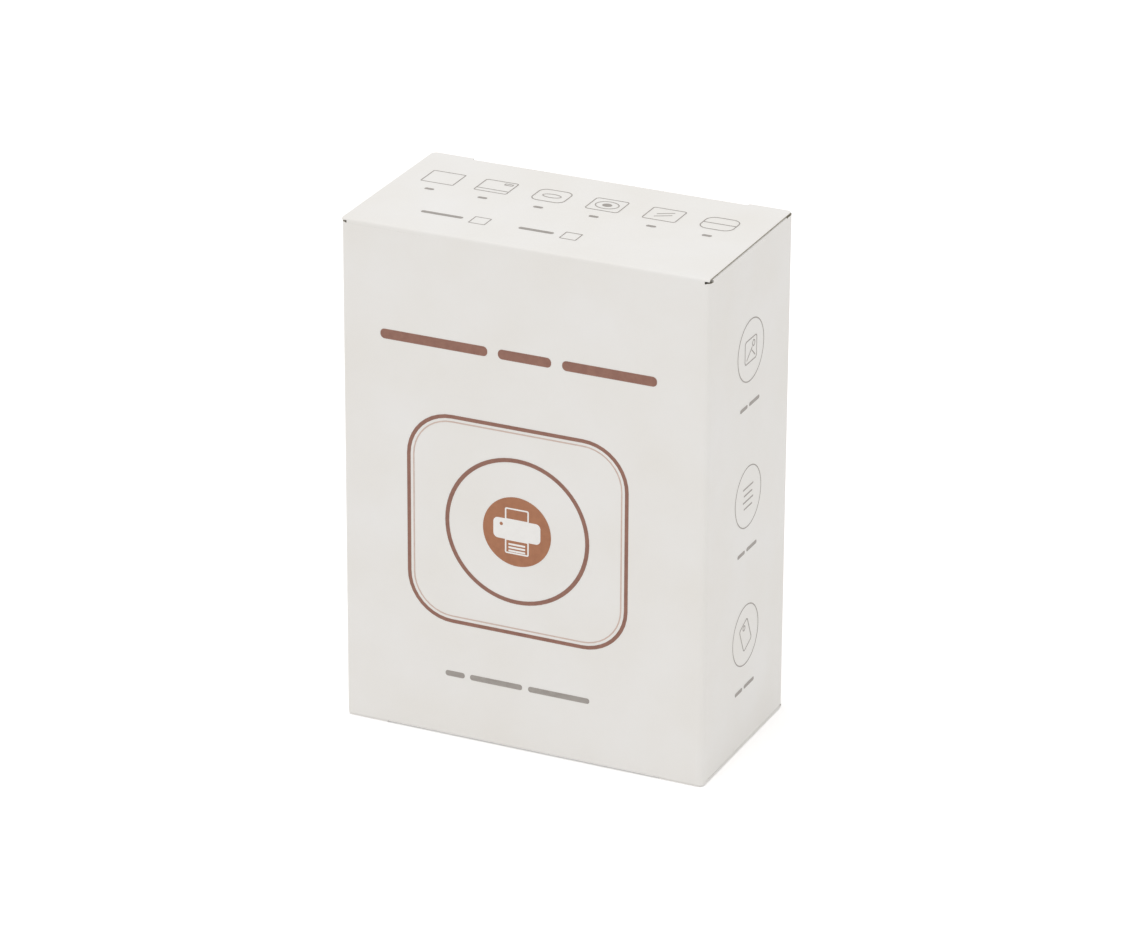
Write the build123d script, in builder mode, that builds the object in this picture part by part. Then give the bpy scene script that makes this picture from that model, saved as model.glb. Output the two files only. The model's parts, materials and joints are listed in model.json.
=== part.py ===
"""A pocket printer in its closed tuck-end carton, with a folded card insert and a leaflet.

Millimetres, +Z up. The carton stands on its base with the origin under its middle,
its front panel faces -Y and its right side panel faces +X.
"""
from build123d import *
from math import acos, atan2, cos, degrees, hypot, pi, radians, sin, sqrt, tan
import os

os.makedirs("parts", exist_ok=True)

# Carton: paperboard and the room over the printer
headroom = 54.0
board = 0.5
sheet_gap = 0.1
upright_fold_radius = 1.2

# Lid and bottom panel, alike at the two ends of the carton
crease_radius = 0.7
crease_gap = 0.15
panel_side_gap = 0.3
shoulder_width = 11.5
shoulder_corner = 1.5

# Tuck flaps
tuck_length = 14.0
tuck_lean = 9.5
tuck_corner = 8.0
tuck_crease_radius = 0.6
tuck_wall_gap = 0.2
tuck_side_gap = 1.5
slit_gap = 0.4

# Dust flaps under the lid and over the bottom panel
dust_length = 30.0
dust_taper = 36.0
dust_crease_radius = 0.6
dust_root_offset = 1.4
dust_rear_cut = 3.7
dust_corner = 3.0

# Glue flap inside the left panel
glue_flap_width = 12.0
glue_flap_inset = 4.0
glue_flap_bevel = 5.0

# Folded card insert
insert_height = 58.0
insert_front_gap = 5.1
insert_channel = 4.85
insert_rear_gap = 0.2
insert_side_gap = 0.25
insert_fold_radius = 0.8
finger_radius = 9.0

# Folded leaflet behind the printer
leaflet_width = 68.0
leaflet_height = 96.0
leaflet_layers = 4
leaflet_sheet = 0.2
leaflet_pitch = 0.4
leaflet_gap = 1.7
leaflet_rear_gap = 5.1
leaflet_lift = 0.2

# Pocket printer: moulded housing and the space in it beside and over the paper roll
roll_side_space = 11.7
roll_rise = 20.2
roll_top_space = 12.0
printer_corner = 15.0
rim_radius = 4.6
wall = 1.8
printer_side_gap = 0.9
printer_front_gap = 6.0
seat_gap = 0.2
part_line = 3.0
ring_radius = 17.0
ring_width = 1.4
ring_depth = 0.5
dish_radius = 8.5
dish_depth = 0.6

# Rubber feet of the printer
foot_radius = 3.0
foot_height = 1.0
foot_spacing_x = 34.0
foot_spacing_y = 16.0

# Paper cover and its hinge
cover_side_reach = 5.5
cover_gap = 0.3
exit_slot = 1.2
hinge_pin_radius = 0.8
hinge_pin_grip = 2.2
running_gap = 0.1
web_width = 2.5
web_radius = 3.4

# Paper roll
paper_width = 57.0
paper_roll_radius = 15.0
core_radius = 6.5
core_wall = 1.2
paper_sheet = 0.15
paper_stub = 1.6
roll_y = 0.0
cradle_gap = 0.3
cradle_wall = 1.2
cradle_side_gap = 0.8

# Platen roller on the cover
platen_front_space = 7.3
platen_drop = 8.5
platen_radius = 3.5
platen_shaft_radius = 1.5
platen_arm_radius = 3.0
platen_arm_width = 1.2
nip_gap = 0.1
platen_swing_gap = 0.45

# Print head, its spring and the tear bar
head_width = 58.0
head_height = 8.0
ceramic_height = 6.0
ceramic_thickness = 0.4
head_plate_thickness = 1.0
head_spring_sheet = 0.25
head_spring_width = 36.0
tear_bar_width = 60.0
tear_bar_sheet = 0.35
tear_bar_height = 3.6
tear_tooth_pitch = 1.5
tear_tooth_depth = 0.7

# Gear train from the motor to the platen
gear_module = 0.5
gear_width = 2.2
gear_side_gap = 0.5
pinion_teeth = 10
idler_teeth = 38
platen_teeth = 16
upper_idler_y = -3.0
lower_idler_y = -4.0
motor_y = -8.0
tooth_share = 0.40
spindle_radius = 1.0
motor_radius = 6.5
motor_length = 14.0
motor_shaft_radius = 0.75

# Electronics
battery_height = 28.0
battery_thickness = 8.0
battery_side_gap = 1.4
battery_motor_gap = 3.3
battery_corner = 1.5
circuit_thickness = 1.2
circuit_left = -24.0
circuit_bottom = 13.0
circuit_top = 40.0
standoff_height = 3.5
usb_width = 9.0
usb_thickness = 3.2
usb_length = 7.4
usb_z = 18.5
light_z = 27.0
light_radius = 1.0
button_z = 34.0
button_radius = 2.8
button_proud = 0.5
button_travel = 0.6
button_flange = 0.8

# Screws
screw_radius = 1.0
screw_head_radius = 1.9
screw_head_height = 1.4
screw_length = 17.0
boss_radius = 2.6
lower_boss_inset = 7.2
lower_boss_z = 9.0
upper_boss_inset = 4.0
upper_boss_drop = 19.0
standoff_radius = 1.8

# Depths below the outer face of an end
hinge_axis_drop = crease_radius
hinge_edge_drop = 2 * crease_radius + crease_gap
rear_edge_drop = board + sheet_gap
dust_face_drop = board + sheet_gap
dust_axis_drop = dust_face_drop + dust_crease_radius
side_edge_drop = dust_axis_drop + dust_crease_radius + crease_gap

# Printer: overall size from the roll it holds, and the inner faces of its housing
cradle_inner_x = paper_width / 2 + cradle_side_gap
cradle_outer_x = cradle_inner_x + cradle_wall
trough_radius = paper_roll_radius + cradle_gap
inner_half_width = paper_width / 2 + roll_side_space
inner_half_depth = trough_radius + cradle_wall + seat_gap
battery_bottom = rim_radius + seat_gap
roll_z = battery_bottom + battery_height + roll_rise
printer_width = 2 * (inner_half_width + wall)
printer_depth = 2 * (inner_half_depth + wall)
printer_height = roll_z + paper_roll_radius + roll_top_space
cover_half_width = paper_width / 2 + cover_side_reach
platen_y = platen_front_space - inner_half_depth
platen_z = printer_height - platen_drop

# Floor of the insert and base of the printer on it
insert_floor = dust_face_drop + board + seat_gap
insert_top = insert_floor + insert_height
printer_base = insert_floor + board + seat_gap + foot_height

# Carton: overall size from the printer, the insert and the leaflet in it
insert_inner_x = printer_width / 2 + printer_side_gap + board / 2
insert_outer_x = insert_inner_x + board + insert_channel
leaflet_pile = (leaflet_layers - 1) * leaflet_pitch
carton_width = 2 * (insert_outer_x + board / 2 + insert_side_gap + 2 * board)
carton_depth = printer_front_gap + printer_depth + leaflet_gap + leaflet_pile + leaflet_rear_gap + 2 * board
carton_height = printer_base + printer_height + headroom

# Planes at the two ends of the carton: +Z points out of it, -Y is the side of the hinge
top_end = Plane(origin=(0, 0, carton_height), x_dir=(1, 0, 0), z_dir=(0, 0, 1))
bottom_end = Plane(origin=(0, 0, 0), x_dir=(1, 0, 0), z_dir=(0, 0, -1))

# Hinge lines at an end
hinge_y = -carton_depth / 2 + crease_radius
tuck_y = carton_depth / 2 - board - tuck_wall_gap - tuck_crease_radius
dust_x = carton_width / 2 - dust_crease_radius

# Frame of the printer that stands in the insert
printer_mid_y = -carton_depth / 2 + board + printer_front_gap + printer_depth / 2
printer_frame = Plane(origin=(0, printer_mid_y, printer_base), x_dir=(1, 0, 0), z_dir=(0, 0, 1))

# Cover hinge line: the centre of the rounded rear top edge
cover_hinge_y = printer_depth / 2 - rim_radius
cover_hinge_z = printer_height - rim_radius

# Places across the paper path
nip_y = platen_y - platen_radius - platen_swing_gap
head_face_y = nip_y - paper_sheet - nip_gap
cover_front_y = head_face_y + cover_gap
slot_front_y = cover_front_y - exit_slot

# Gear centres, each one pitch distance from the last
pinion_pitch = pinion_teeth * gear_module / 2
idler_pitch = idler_teeth * gear_module / 2
platen_pitch = platen_teeth * gear_module / 2
upper_idler_z = platen_z - sqrt((platen_pitch + idler_pitch) ** 2 - (upper_idler_y - platen_y) ** 2)
lower_idler_z = upper_idler_z - sqrt((2 * idler_pitch) ** 2 - (lower_idler_y - upper_idler_y) ** 2)
motor_z = lower_idler_z - sqrt((idler_pitch + pinion_pitch) ** 2 - (motor_y - lower_idler_y) ** 2)
gear_near_x = -(cradle_outer_x + gear_side_gap)
gear_far_x = gear_near_x - gear_width

# Screw places on the housing, as x and z
lower_boss_x = inner_half_width - lower_boss_inset
upper_boss_x = inner_half_width - upper_boss_inset
upper_boss_z = printer_height - upper_boss_drop
boss_places = [
    (-lower_boss_x, lower_boss_z),
    (lower_boss_x, lower_boss_z),
    (-upper_boss_x, upper_boss_z),
    (upper_boss_x, upper_boss_z),
]

# Battery between the motor and the right-hand screw post, circuit board behind it
battery_right = lower_boss_x - boss_radius - battery_side_gap
battery_left = motor_length + battery_motor_gap - cradle_inner_x
battery_width = battery_right - battery_left
circuit_back = inner_half_depth - standoff_height
side_row_y = circuit_back - circuit_thickness - usb_thickness / 2 - seat_gap
flange_outer_x = inner_half_width - running_gap
flange_inner_x = flange_outer_x - button_flange
circuit_right = flange_inner_x - button_travel - seat_gap
circuit_hole_inset = 4.0
circuit_holes = [
    (circuit_left + circuit_hole_inset, circuit_bottom + circuit_hole_inset),
    (circuit_left + circuit_hole_inset, circuit_top - circuit_hole_inset),
    (circuit_right - 3 * circuit_hole_inset, circuit_bottom + circuit_hole_inset),
    (circuit_right - 3 * circuit_hole_inset, circuit_top - circuit_hole_inset),
]


def placed(frame, plane):
    """A plane given in a frame's own coordinates, moved to where the frame is."""
    return Plane(frame.location * plane.location)


def in_printer(plane):
    """A plane given in the printer's own coordinates."""
    return placed(printer_frame, plane)


def write(part, label):
    """Name a finished piece and write it to its own file."""
    part.label = label
    export_step(part, f"parts/{label}.step")


# Carton sleeve: front, right, back and left panels with rounded upright folds
with BuildPart() as carton_sleeve:
    with BuildSketch(Plane.XY.offset(rear_edge_drop)):
        RectangleRounded(carton_width, carton_depth, upright_fold_radius)
        RectangleRounded(
            carton_width - 2 * board,
            carton_depth - 2 * board,
            upright_fold_radius - board,
            mode=Mode.SUBTRACT,
        )
    extrude(amount=carton_height - 2 * rear_edge_drop)
    for end in (top_end, bottom_end):
        with BuildSketch(placed(end, Plane.XY)):
            with Locations((0, -carton_depth / 2)):
                Rectangle(carton_width, 2 * upright_fold_radius)
        extrude(amount=-hinge_edge_drop, mode=Mode.SUBTRACT)
        with BuildSketch(placed(end, Plane.XY)):
            with Locations((-carton_width / 2, 0), (carton_width / 2, 0)):
                Rectangle(2 * upright_fold_radius, carton_depth - 2 * upright_fold_radius)
        extrude(amount=-side_edge_drop, mode=Mode.SUBTRACT)
    with BuildSketch(Plane.YZ.offset(-carton_width / 2 + board)):
        with Locations((carton_depth / 2 - board - glue_flap_width / 2, carton_height / 2)):
            Rectangle(glue_flap_width, carton_height - 2 * glue_flap_inset)
        chamfer(vertices().sort_by(Axis.Y)[:2], glue_flap_bevel)
    extrude(amount=board)
write(carton_sleeve.part, "carton_sleeve")


def closing_panel(end):
    """Panel over one end: hinged along one long edge, with a shoulder at each end of the other."""
    half = carton_width / 2 - panel_side_gap
    shoulder_start = half - shoulder_width
    fold_edge = tuck_y - tuck_crease_radius - crease_gap
    with BuildPart() as panel:
        with BuildSketch(placed(end, Plane.XY)):
            with BuildLine():
                Polyline(
                    (-half, hinge_y),
                    (-half, carton_depth / 2),
                    (-shoulder_start, carton_depth / 2),
                    (-shoulder_start, fold_edge),
                    (shoulder_start, fold_edge),
                    (shoulder_start, carton_depth / 2),
                    (half, carton_depth / 2),
                    (half, hinge_y),
                    close=True,
                )
            make_face()
            fillet(vertices().group_by(Axis.Y)[-1].sort_by(Axis.X)[0], shoulder_corner)
            fillet(vertices().group_by(Axis.Y)[-1].sort_by(Axis.X)[-1], shoulder_corner)
        extrude(amount=-board)
        with BuildSketch(placed(end, Plane.YZ)):
            with Locations((hinge_y, -hinge_axis_drop)):
                Circle(crease_radius)
        extrude(amount=half, both=True)
    return panel.part


def tuck_flap(end):
    """Flap folded into the carton, leaning inwards, with round corners and a slit at each end."""
    crease_half = carton_width / 2 - panel_side_gap - shoulder_width - slit_gap
    flap_half = carton_width / 2 - tuck_side_gap
    ear_start = board + slit_gap
    lean = radians(tuck_lean)
    fold_plane = Plane(
        origin=(0, tuck_y, -tuck_crease_radius),
        x_dir=(1, 0, 0),
        z_dir=(0, cos(lean), -sin(lean)),
    )
    with BuildPart() as flap:
        with BuildSketch(placed(end, fold_plane.offset(tuck_crease_radius))):
            with Locations((0, (ear_start + tuck_length) / 2)):
                Rectangle(2 * flap_half, tuck_length - ear_start)
            fillet(vertices().group_by(Axis.Y)[-1], tuck_corner)
            with Locations((0, ear_start / 2)):
                Rectangle(2 * crease_half, ear_start)
        extrude(amount=-board)
        with BuildSketch(placed(end, Plane.YZ)):
            with Locations((tuck_y, -tuck_crease_radius)):
                Circle(tuck_crease_radius)
        extrude(amount=crease_half, both=True)
    return flap.part


def dust_flap(end, side):
    """Tapered flap on a side panel's edge; side is -1 for the left and 1 for the right."""
    front = hinge_y + dust_root_offset
    rear = carton_depth / 2 - dust_rear_cut
    tip = dust_x - dust_length
    with BuildPart() as flap:
        with BuildSketch(placed(end, Plane.XY.offset(-dust_face_drop))):
            with BuildLine():
                Polyline(
                    (side * dust_x, front),
                    (side * tip, front + dust_length * tan(radians(dust_taper))),
                    (side * tip, rear),
                    (side * dust_x, rear),
                    close=True,
                )
            make_face()
            fillet(vertices().sort_by(Axis.X)[-2:] if side < 0 else vertices().sort_by(Axis.X)[:2], dust_corner)
        extrude(amount=-board)
        with BuildSketch(placed(end, Plane.XZ.offset(-rear))):
            with Locations((side * dust_x, -dust_axis_drop)):
                Circle(dust_crease_radius)
        extrude(amount=rear - front)
    return flap.part


write(closing_panel(top_end), "lid_panel")
write(tuck_flap(top_end), "lid_tuck_flap")
write(dust_flap(top_end, -1), "top_dust_flap_left")
write(dust_flap(top_end, 1), "top_dust_flap_right")
write(closing_panel(bottom_end), "bottom_panel")
write(tuck_flap(bottom_end), "bottom_tuck_flap")
write(dust_flap(bottom_end, -1), "bottom_dust_flap_left")
write(dust_flap(bottom_end, 1), "bottom_dust_flap_right")

# Card insert: one folded sheet with a floor and a hollow wall on each side
insert_front = -carton_depth / 2 + board + insert_front_gap
insert_rear = -hinge_y - crease_radius - insert_rear_gap
with BuildPart() as card_insert:
    with BuildSketch(Plane.XZ.offset(-insert_rear)):
        with BuildLine():
            FilletPolyline(
                (-insert_outer_x, insert_floor),
                (-insert_outer_x, insert_top),
                (-insert_inner_x, insert_top),
                (-insert_inner_x, insert_floor + board / 2),
                (insert_inner_x, insert_floor + board / 2),
                (insert_inner_x, insert_top),
                (insert_outer_x, insert_top),
                (insert_outer_x, insert_floor),
                radius=insert_fold_radius,
            )
        trace(line_width=board)
    extrude(amount=insert_rear - insert_front)
    with BuildSketch(Plane.YZ):
        with Locations((printer_mid_y, insert_top)):
            Circle(finger_radius)
    extrude(amount=carton_width / 2, both=True, mode=Mode.SUBTRACT)
write(card_insert.part, "card_insert")

# Leaflet: one sheet folded to and fro, standing between the printer and the back panel
leaflet_front = printer_mid_y + printer_depth / 2 + leaflet_gap
leaflet_half = leaflet_width / 2
with BuildPart() as leaflet:
    with BuildSketch(Plane.XY.offset(insert_floor + board + leaflet_lift)):
        with BuildLine():
            for layer in range(leaflet_layers):
                sheet_y = leaflet_front + layer * leaflet_pitch
                turn = 1 if layer % 2 == 0 else -1
                Line((-turn * leaflet_half, sheet_y), (turn * leaflet_half, sheet_y))
                if layer < leaflet_layers - 1:
                    ThreePointArc(
                        (turn * leaflet_half, sheet_y),
                        (turn * (leaflet_half + leaflet_pitch / 2), sheet_y + leaflet_pitch / 2),
                        (turn * leaflet_half, sheet_y + leaflet_pitch),
                    )
        trace(line_width=leaflet_sheet)
    extrude(amount=leaflet_height)
write(leaflet.part, "leaflet")

# Printer housing form: a rounded square block with a soft rim, before it is hollowed and split
with BuildPart() as housing_form:
    with BuildSketch(in_printer(Plane.XZ.offset(-printer_depth / 2))):
        with Locations((0, printer_height / 2)):
            RectangleRounded(printer_width, printer_height, printer_corner)
    extrude(amount=printer_depth)
    fillet(edges().group_by(Axis.Y)[0] + edges().group_by(Axis.Y)[-1], rim_radius)

with BuildPart() as housing_cavity:
    with BuildSketch(in_printer(Plane.XZ.offset(-inner_half_depth))):
        with Locations((0, printer_height / 2)):
            RectangleRounded(2 * inner_half_width, printer_height - 2 * wall, printer_corner - wall)
    extrude(amount=2 * inner_half_depth)
    chamfer(edges().group_by(Axis.Y)[0] + edges().group_by(Axis.Y)[-1], rim_radius - wall)

with BuildPart() as housing_skin:
    add(housing_form.part)
    add(housing_cavity.part, mode=Mode.SUBTRACT)

# Opening for the cover: the top of the housing, with a round seat behind the hinge line
with BuildPart() as cover_opening:
    with BuildSketch(in_printer(Plane.YZ)):
        with BuildLine():
            Polyline(
                (slot_front_y, cover_hinge_z),
                (slot_front_y, printer_height + rim_radius),
                (printer_depth, printer_height + rim_radius),
                (printer_depth, cover_hinge_z),
                close=True,
            )
        make_face()
        with Locations((cover_hinge_y, cover_hinge_z)):
            Circle(rim_radius + cover_gap)
    extrude(amount=cover_half_width + cover_gap, both=True)

# Ends of the hinge pin's seat, kept inside the housing form
with BuildPart() as hinge_seats:
    for side in (-1, 1):
        near = side * (cover_half_width + cover_gap)
        with BuildSketch(in_printer(Plane.YZ.offset(near))):
            with Locations((cover_hinge_y, cover_hinge_z)):
                Circle(hinge_pin_radius + wall)
        extrude(amount=side * (hinge_pin_grip + running_gap + wall / 2))
    add(housing_form.part, mode=Mode.INTERSECT)

# Back shell: rear half of the housing, screw posts, circuit board posts and hinge seats
shell_split = in_printer(Plane.XZ.offset(-part_line))
with BuildPart() as back_shell:
    add(housing_skin.part)
    split(bisect_by=shell_split, keep=Keep.BOTTOM)
    add(cover_opening.part, mode=Mode.SUBTRACT)
    add(hinge_seats.part)
    with BuildSketch(shell_split):
        with Locations(*boss_places):
            Circle(boss_radius)
    extrude(amount=-(inner_half_depth - part_line))
    with BuildSketch(in_printer(Plane.XZ.offset(-circuit_back))):
        with Locations(*circuit_holes):
            Circle(standoff_radius)
    extrude(amount=-(inner_half_depth - circuit_back))
    with Locations(in_printer(Plane.XZ.offset(-printer_depth / 2)).location * Rotation(180, 0, 0)):
        with Locations(*[(x, -z) for x, z in boss_places]):
            CounterBoreHole(screw_radius, screw_head_radius + running_gap, screw_head_height + wall)
    with BuildSketch(in_printer(Plane.YZ)):
        with Locations((cover_hinge_y, cover_hinge_z)):
            Circle(hinge_pin_radius)
    extrude(amount=cover_half_width + cover_gap + hinge_pin_grip, both=True, mode=Mode.SUBTRACT)
    with BuildSketch(in_printer(Plane.YZ.offset(inner_half_width - wall))):
        with Locations((side_row_y, usb_z)):
            SlotOverall(usb_width + 2 * running_gap, usb_thickness + 2 * running_gap, rotation=90)
        with Locations((side_row_y, light_z)):
            Circle(light_radius + running_gap)
        with Locations((side_row_y, button_z)):
            Circle(button_radius + running_gap)
    extrude(amount=3 * wall, mode=Mode.SUBTRACT)
write(back_shell.part, "back_shell")

# Front shell: front half with its ring groove, round dish and screw posts
with BuildPart() as front_shell:
    add(housing_skin.part)
    split(bisect_by=shell_split, keep=Keep.TOP)
    add(cover_opening.part, mode=Mode.SUBTRACT)
    with BuildSketch(shell_split):
        with Locations(*boss_places):
            Circle(boss_radius)
            Circle(screw_radius, mode=Mode.SUBTRACT)
    extrude(amount=inner_half_depth + part_line)
    with BuildSketch(in_printer(Plane.XZ.offset(printer_depth / 2))):
        with Locations((0, printer_height / 2)):
            Circle(ring_radius + ring_width)
            Circle(ring_radius, mode=Mode.SUBTRACT)
    extrude(amount=-ring_depth, mode=Mode.SUBTRACT)
    with BuildSketch(in_printer(Plane.XZ.offset(printer_depth / 2))):
        with Locations((0, printer_height / 2)):
            Circle(dish_radius)
    extrude(amount=-dish_depth, taper=45, mode=Mode.SUBTRACT)
write(front_shell.part, "front_shell")

# Paper cover: the top of the housing skin, hinge webs at the rear and platen arms in front
with BuildPart() as paper_cover:
    add(housing_skin.part)
    with BuildSketch(in_printer(Plane.YZ)):
        with BuildLine():
            Polyline(
                (cover_front_y, cover_hinge_z),
                (cover_front_y, printer_height + rim_radius),
                (printer_depth, printer_height + rim_radius),
                (printer_depth, cover_hinge_z),
                close=True,
            )
        make_face()
    extrude(amount=cover_half_width, both=True, mode=Mode.INTERSECT)
    for side in (-1, 1):
        with BuildSketch(in_printer(Plane.YZ.offset(side * cover_half_width))):
            with Locations((cover_hinge_y, cover_hinge_z)):
                Circle(web_radius)
        extrude(amount=-side * web_width)
        with BuildSketch(in_printer(Plane.YZ.offset(side * (cradle_outer_x + running_gap)))):
            with BuildLine():
                Polyline(
                    (platen_y - platen_arm_radius, platen_z),
                    (platen_y - platen_arm_radius, printer_height - wall / 2),
                    (platen_y + 3 * platen_arm_radius, printer_height - wall / 2),
                    (platen_y + platen_arm_radius, platen_z),
                    close=True,
                )
            make_face()
            with Locations((platen_y, platen_z)):
                Circle(platen_arm_radius)
                Circle(platen_shaft_radius + running_gap, mode=Mode.SUBTRACT)
        extrude(amount=-side * platen_arm_width)
    with BuildSketch(in_printer(Plane.YZ)):
        with Locations((cover_hinge_y, cover_hinge_z)):
            Circle(hinge_pin_radius + running_gap)
    extrude(amount=cover_half_width, both=True, mode=Mode.SUBTRACT)
write(paper_cover.part, "paper_cover")

# Hinge pin: a steel rod along the rear top edge
with BuildPart() as cover_hinge_pin:
    with BuildSketch(in_printer(Plane.YZ)):
        with Locations((cover_hinge_y, cover_hinge_z)):
            Circle(hinge_pin_radius)
    extrude(amount=cover_half_width + cover_gap + hinge_pin_grip, both=True)
write(cover_hinge_pin.part, "cover_hinge_pin")

# Platen: steel shaft through a rubber sleeve
platen_shaft_right = cradle_outer_x + running_gap + platen_shaft_radius
with BuildPart() as platen_shaft:
    with BuildSketch(in_printer(Plane.YZ.offset(gear_far_x))):
        with Locations((platen_y, platen_z)):
            Circle(platen_shaft_radius)
    extrude(amount=platen_shaft_right - gear_far_x)
write(platen_shaft.part, "platen_shaft")

with BuildPart() as platen_rubber:
    with BuildSketch(in_printer(Plane.YZ)):
        with Locations((platen_y, platen_z)):
            Circle(platen_radius)
            Circle(platen_shaft_radius, mode=Mode.SUBTRACT)
    extrude(amount=paper_width / 2, both=True)
write(platen_rubber.part, "platen_rubber")


def gear_wheel(teeth, place, bore_radius, phase):
    """Spur gear across X with straight-sided teeth; phase is the angle of one tooth, in degrees."""
    pitch_radius = teeth * gear_module / 2
    root_radius = pitch_radius - 1.15 * gear_module
    tip_radius = pitch_radius + 0.85 * gear_module
    tooth = tooth_share * pi * gear_module
    root_half = 0.75 * tooth
    tip_half = 0.25 * tooth
    with BuildPart() as wheel:
        with BuildSketch(in_printer(Plane.YZ.offset(gear_far_x))):
            with Locations(place):
                Circle(root_radius)
                with PolarLocations(0, teeth, start_angle=phase):
                    Polygon(
                        (root_radius - gear_module / 4, -root_half),
                        (tip_radius, -tip_half),
                        (tip_radius, tip_half),
                        (root_radius - gear_module / 4, root_half),
                        align=None,
                    )
                Circle(bore_radius, mode=Mode.SUBTRACT)
        extrude(amount=gear_width)
    return wheel.part


def meshing_phase(place, teeth, phase, next_place, next_teeth):
    """Phase of the next gear whose gaps take the teeth of this one on their centre line."""
    toward = degrees(atan2(next_place[1] - place[1], next_place[0] - place[0]))
    tooth_count = (toward - phase) * teeth / 360
    return toward + 180 - (0.5 - tooth_count) * 360 / next_teeth


platen_place = (platen_y, platen_z)
upper_idler_place = (upper_idler_y, upper_idler_z)
lower_idler_place = (lower_idler_y, lower_idler_z)
motor_place = (motor_y, motor_z)
platen_phase = 0.0
upper_phase = meshing_phase(platen_place, platen_teeth, platen_phase, upper_idler_place, idler_teeth)
lower_phase = meshing_phase(upper_idler_place, idler_teeth, upper_phase, lower_idler_place, idler_teeth)
pinion_phase = meshing_phase(lower_idler_place, idler_teeth, lower_phase, motor_place, pinion_teeth)

write(gear_wheel(platen_teeth, platen_place, platen_shaft_radius, platen_phase), "platen_gear")
idler_bore = spindle_radius + running_gap
write(gear_wheel(idler_teeth, upper_idler_place, idler_bore, upper_phase), "upper_idler_gear")
write(gear_wheel(idler_teeth, lower_idler_place, idler_bore, lower_phase), "lower_idler_gear")
write(gear_wheel(pinion_teeth, motor_place, motor_shaft_radius, pinion_phase), "motor_pinion")

# Roll cradle: a half-round trough with end walls, gear spindles and the motor's mounting wall
end_wall_top = platen_z - platen_arm_radius - 1.0
motor_wall_bottom = motor_z - motor_radius
with BuildPart() as roll_cradle:
    with BuildSketch(in_printer(Plane.YZ)):
        with Locations((roll_y, roll_z)):
            Circle(trough_radius + cradle_wall)
            Circle(trough_radius, mode=Mode.SUBTRACT)
        with Locations((roll_y, roll_z + printer_height / 2)):
            Rectangle(printer_depth, printer_height, mode=Mode.SUBTRACT)
    extrude(amount=cradle_outer_x, both=True)
    for side in (-1, 1):
        with BuildSketch(in_printer(Plane.YZ.offset(side * cradle_inner_x))):
            with Locations((roll_y, roll_z)):
                Circle(trough_radius + cradle_wall)
            with Locations((roll_y, end_wall_top)):
                Rectangle(
                    printer_depth,
                    printer_height,
                    align=(Align.CENTER, Align.MIN),
                    mode=Mode.SUBTRACT,
                )
        extrude(amount=side * cradle_wall)
    with BuildSketch(in_printer(Plane.YZ.offset(-cradle_inner_x))):
        with Locations((motor_y, motor_wall_bottom)):
            Rectangle(
                2 * motor_radius,
                roll_z - trough_radius - motor_wall_bottom + cradle_wall,
                align=(Align.CENTER, Align.MIN),
            )
    extrude(amount=-cradle_wall)
    with BuildSketch(in_printer(Plane.YZ.offset(-cradle_outer_x))):
        with Locations(upper_idler_place, lower_idler_place):
            Circle(spindle_radius)
    extrude(amount=-(gear_side_gap + gear_width))
    with BuildSketch(in_printer(Plane.YZ)):
        with Locations(motor_place):
            Circle(2 * motor_shaft_radius)
    extrude(amount=-cradle_outer_x, mode=Mode.SUBTRACT)
write(roll_cradle.part, "roll_cradle")

# Stepper motor: a can with a shaft that reaches through the cradle wall to the pinion
with BuildPart() as stepper_motor:
    with BuildSketch(in_printer(Plane.YZ.offset(-cradle_inner_x))):
        with Locations(motor_place):
            Circle(motor_radius)
    extrude(amount=motor_length)
    chamfer(edges().group_by(Axis.X)[-1], motor_shaft_radius)
write(stepper_motor.part, "stepper_motor")

with BuildPart() as motor_shaft:
    with BuildSketch(in_printer(Plane.YZ.offset(gear_far_x))):
        with Locations(motor_place):
            Circle(motor_shaft_radius)
    extrude(amount=-cradle_inner_x - gear_far_x)
write(motor_shaft.part, "motor_shaft")

# Paper roll on its card core
with BuildPart() as paper_roll:
    with BuildSketch(in_printer(Plane.YZ)):
        with Locations((roll_y, roll_z)):
            Circle(paper_roll_radius)
            Circle(core_radius, mode=Mode.SUBTRACT)
    extrude(amount=paper_width / 2, both=True)
write(paper_roll.part, "paper_roll")

with BuildPart() as roll_core:
    with BuildSketch(in_printer(Plane.YZ)):
        with Locations((roll_y, roll_z)):
            Circle(core_radius)
            Circle(core_radius - core_wall, mode=Mode.SUBTRACT)
    extrude(amount=paper_width / 2, both=True)
write(roll_core.part, "roll_core")

# Paper leader: leaves the roll along a tangent, passes the print head and shows at the slot
leader_y = nip_y - paper_sheet / 2
nip_low_z = platen_z - platen_radius
leave_radius = paper_roll_radius + paper_sheet / 2 + running_gap
leave_angle = atan2(nip_low_z - roll_z, leader_y - roll_y)
leave_angle += acos(leave_radius / hypot(nip_low_z - roll_z, leader_y - roll_y))
leave_point = (roll_y + leave_radius * cos(leave_angle), roll_z + leave_radius * sin(leave_angle))
with BuildPart() as paper_leader:
    with BuildSketch(in_printer(Plane.YZ)):
        with BuildLine():
            Polyline(leave_point, (leader_y, nip_low_z), (leader_y, printer_height + paper_stub))
        trace(line_width=paper_sheet)
    extrude(amount=paper_width / 2, both=True)
write(paper_leader.part, "paper_leader")

# Print head: ceramic strip on an aluminium plate, pressed towards the platen by a leaf spring
head_bottom = platen_z - ceramic_height / 2
with BuildPart() as print_head:
    with BuildSketch(in_printer(Plane.XZ.offset(-head_face_y))):
        with Locations((0, platen_z)):
            Rectangle(head_width, ceramic_height)
    extrude(amount=ceramic_thickness)
write(print_head.part, "print_head")

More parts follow.
